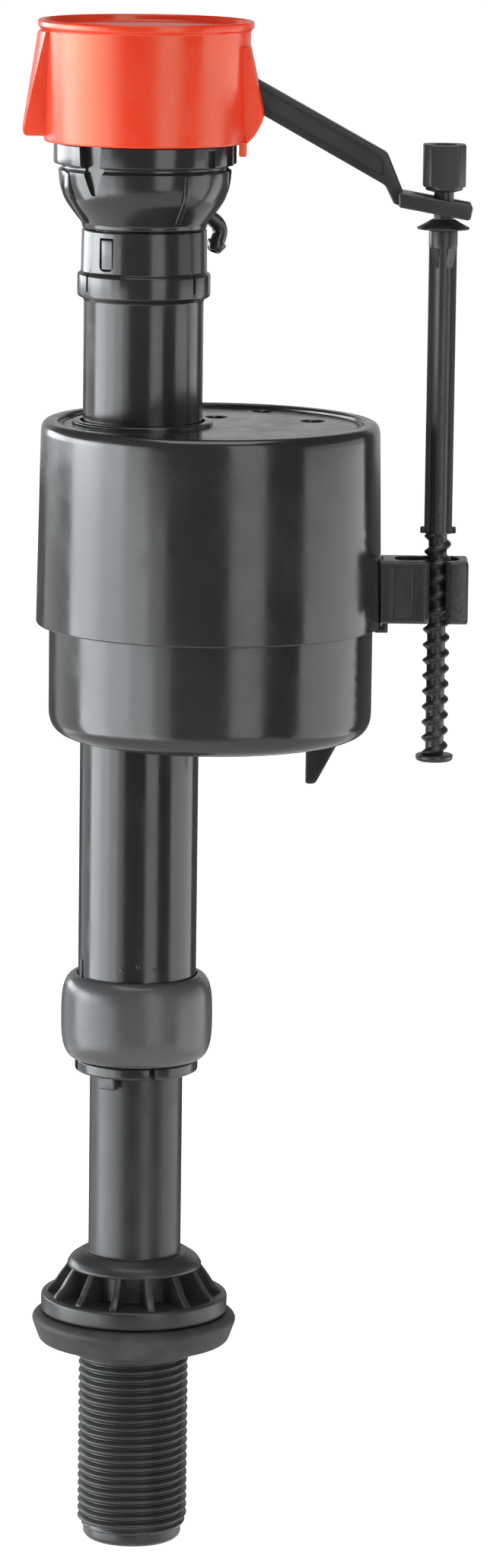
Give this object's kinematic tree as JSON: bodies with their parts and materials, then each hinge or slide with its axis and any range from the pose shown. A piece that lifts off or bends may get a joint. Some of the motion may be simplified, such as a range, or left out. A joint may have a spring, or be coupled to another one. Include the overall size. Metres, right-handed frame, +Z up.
{
  "type": "toilet fill valve",
  "caption": "Toilet fill valve with a threaded shank, telescoping riser with lock ring, cup float on an adjusting rod, lever and red twist-off cap.",
  "frame": {"origin": "on the riser's axis, in the plane where the shank washer meets the tank floor", "axes": "+Z up along the riser, +X from the riser to the adjusting rod, +Y to the back"},
  "size_m": [0.0954, 0.0736, 0.3289],
  "materials": {
    "gloss_grey": "glossy moulded plastic",
    "satin_grey": "satin moulded plastic",
    "matt_black": "satin black moulded plastic",
    "cap_red": "glossy red-orange plastic",
    "rubber": "matt rubber",
    "steel": "drawn wire"
  },
  "bodies": {
    "shank": {"shank_body": "matt_black", "shank_washer": "rubber"},
    "riser": {"riser_tube": "gloss_grey", "inner_pipe": "gloss_grey", "pipe_o_ring_lower": "rubber", "pipe_o_ring_upper": "rubber", "valve_bowl": "gloss_grey", "diaphragm": "rubber"},
    "lock_ring": {"lock_ring": "satin_grey"},
    "cap": {"cap_cover": "cap_red", "cap_base": "gloss_grey", "metering_pin": "steel"},
    "lever": {"lever": "matt_black", "pilot_pad": "rubber"},
    "rod_clip": {"rod_clip": "matt_black"},
    "adjusting_rod": {"adjusting_rod": "matt_black"},
    "float": {"float_cover": "gloss_grey", "float_cup": "gloss_grey", "float_bracket": "matt_black", "rod_nut_clip": "matt_black"}
  },
  "joints": [
    {"name": "height_adjust", "type": "slide", "parent": "shank", "child": "riser", "axis": [0, 0, 1], "range_m": [-0.036, 0.06]},
    {"name": "lock_ring_twist", "type": "hinge", "parent": "riser", "child": "lock_ring", "pos_m": [0, 0, 0.0718], "axis": [0, 0, 1], "range_deg": [0, 60]},
    {"name": "cap_twist", "type": "hinge", "parent": "riser", "child": "cap", "pos_m": [0, 0, 0.2625], "axis": [0, 0, 1], "range_deg": [0, 45]},
    {"name": "float_travel", "type": "slide", "parent": "cap", "child": "rod_clip", "axis": [0, 0, 1], "range_m": [0, 0.008]},
    {"name": "lever_pivot", "type": "hinge", "parent": "cap", "child": "lever", "pos_m": [0.013, 0, 0.271], "axis": [0, -1, 0], "range_deg": [0, 9]},
    {"name": "level_adjust", "type": "slide", "parent": "rod_clip", "child": "float", "axis": [0, 0, 1], "range_m": [-0.0242, 0.00466]},
    {"name": "rod_turn", "type": "hinge", "parent": "rod_clip", "child": "adjusting_rod", "pos_m": [0.0631, 0, 0.2], "axis": [0, 0, -1], "range_deg": [-2608.4, 502.3]}
  ],
  "couplings": [
    {"joint": "lever_pivot", "follows": "float_travel", "rad_per_m": 19.4},
    {"joint": "rod_turn", "follows": "level_adjust", "rad_per_m": 1881.2}
  ]
}
